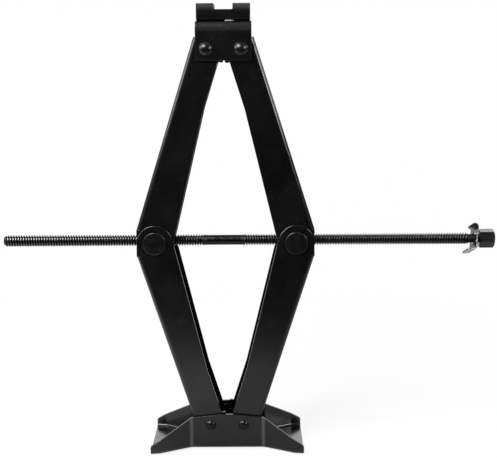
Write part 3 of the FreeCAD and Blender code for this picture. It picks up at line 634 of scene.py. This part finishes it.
# directions, from -1 to 1 along each axis, and the room's level in a mirror
worldSettings = {
    "fill": 0.35, "wallStart": 0.55, "wallFull": 0.9, "leftStart": -0.3, "leftFull": -0.75,
    "leftGlow": 0.4,
    "front": ((0.0, 0.02), (0.2, 0.07), (0.45, 0.18), (0.7, 0.34), (0.9, 0.48), (1.0, 0.58)),
}


def makeWorld(settings):
    world = bpy.data.worlds.new("studio")
    bpy.context.scene.world = world
    world.use_nodes = True
    tree = world.node_tree
    tree.nodes.clear()
    fromCamera, mirrored = addMirrorRays(tree)
    direction = addNode(tree, "ShaderNodeTexCoord")
    axes = addNode(tree, "ShaderNodeSeparateXYZ", links={"Vector": direction.outputs["Generated"]})
    # the wall behind is white, the room in front is dark at eye level and paler to the left and above
    wall = addNode(
        tree, "ShaderNodeMapRange",
        {"From Min": settings["wallStart"], "From Max": settings["wallFull"]}, {"Value": axes.outputs["Y"]})
    left = addNode(
        tree, "ShaderNodeMapRange",
        {"From Min": settings["leftStart"], "From Max": settings["leftFull"],
         "To Max": settings["leftGlow"]},
        {"Value": axes.outputs["X"]})
    front = addNode(
        tree, "ShaderNodeValToRGB", {"stops": greys(settings["front"])}, {"Fac": axes.outputs["Z"]})
    walls = addNode(
        tree, "ShaderNodeMath", {"operation": "MAXIMUM"},
        {"Value": wall.outputs["Result"], "Value_001": left.outputs["Result"]})
    room = addNode(
        tree, "ShaderNodeMath", {"operation": "MAXIMUM"},
        {"Value": walls.outputs["Value"], "Value_001": front.outputs["Color"]})
    inMirror = addNode(
        tree, "ShaderNodeMix", {"data_type": "FLOAT", "A_Float": settings["fill"]},
        {"Factor_Float": mirrored, "B_Float": room.outputs["Value"]})
    level = addNode(
        tree, "ShaderNodeMix", {"data_type": "FLOAT", "B_Float": 1.0},
        {"Factor_Float": fromCamera, "A_Float": inMirror.outputs["Result"]})
    background = addNode(
        tree, "ShaderNodeBackground", {"Color": (1, 1, 1, 1)}, {"Strength": level.outputs["Result"]})
    addNode(tree, "ShaderNodeOutputWorld", links={"Surface": background.outputs["Background"]})


makeWorld(worldSettings)

lampSettings = {
    "keyBox": {"at": (-0.84, -0.89, 1.5), "aim": (0, 0, 0.35), "wide": 1.15, "high": 0.85, "watts": 48},
    "rightBox": {"at": (1.45, 0.15, 1.05), "aim": (0, 0, 0.35), "wide": 0.5, "high": 0.7, "watts": 5},
    "leftPanel": {"at": (-1.6, -0.35, 1.0), "aim": (0, 0, 0.3), "wide": 0.9, "high": 0.7, "watts": 11},
    "rightPanel": {"at": (1.45, -0.93, 0.95), "aim": (0, 0, 0.35), "wide": 0.6, "high": 0.65, "watts": 15},
    "backBox": {"at": (0, 1.9, 0.95), "aim": (0, 0, 0.1), "wide": 2.6, "high": 0.9, "watts": 10},
}


def makeLamp(name, settings):
    light = bpy.data.lights.new(name, "AREA")
    light.shape = "RECTANGLE"
    light.size = settings["wide"]
    light.size_y = settings["high"]
    light.energy = settings["watts"]
    lamp = bpy.data.objects.new(name, light)
    bpy.context.scene.collection.objects.link(lamp)
    lamp.location = settings["at"]
    toward = Vector(settings["aim"]) - lamp.location
    lamp.rotation_euler = toward.to_track_quat("-Z", "Y").to_euler()
    lamp.visible_camera = False


for name, settings in lampSettings.items():
    makeLamp(name, settings)

cameraSettings = {
    "at": (0.0304, -1.0672, 0.4592), "look": (-0.0041, 0.9825, -0.1865), "rollDegrees": -0.38,
    "lens": 68.75, "sensor": 36.0,
}


def makeCamera(settings):
    data = bpy.data.cameras.new("camera")
    data.lens = settings["lens"]
    data.sensor_width = settings["sensor"]
    camera = bpy.data.objects.new("camera", data)
    bpy.context.scene.collection.objects.link(camera)
    camera.location = settings["at"]
    aim = Vector(settings["look"]).to_track_quat("-Z", "Y")
    roll = Quaternion((0, 0, 1), math.radians(settings["rollDegrees"]))
    camera.rotation_euler = (aim @ roll).to_euler()
    bpy.context.scene.camera = camera


makeCamera(cameraSettings)
bpy.context.scene.view_settings.view_transform = "Standard"
print("studio, lamps and camera placed")
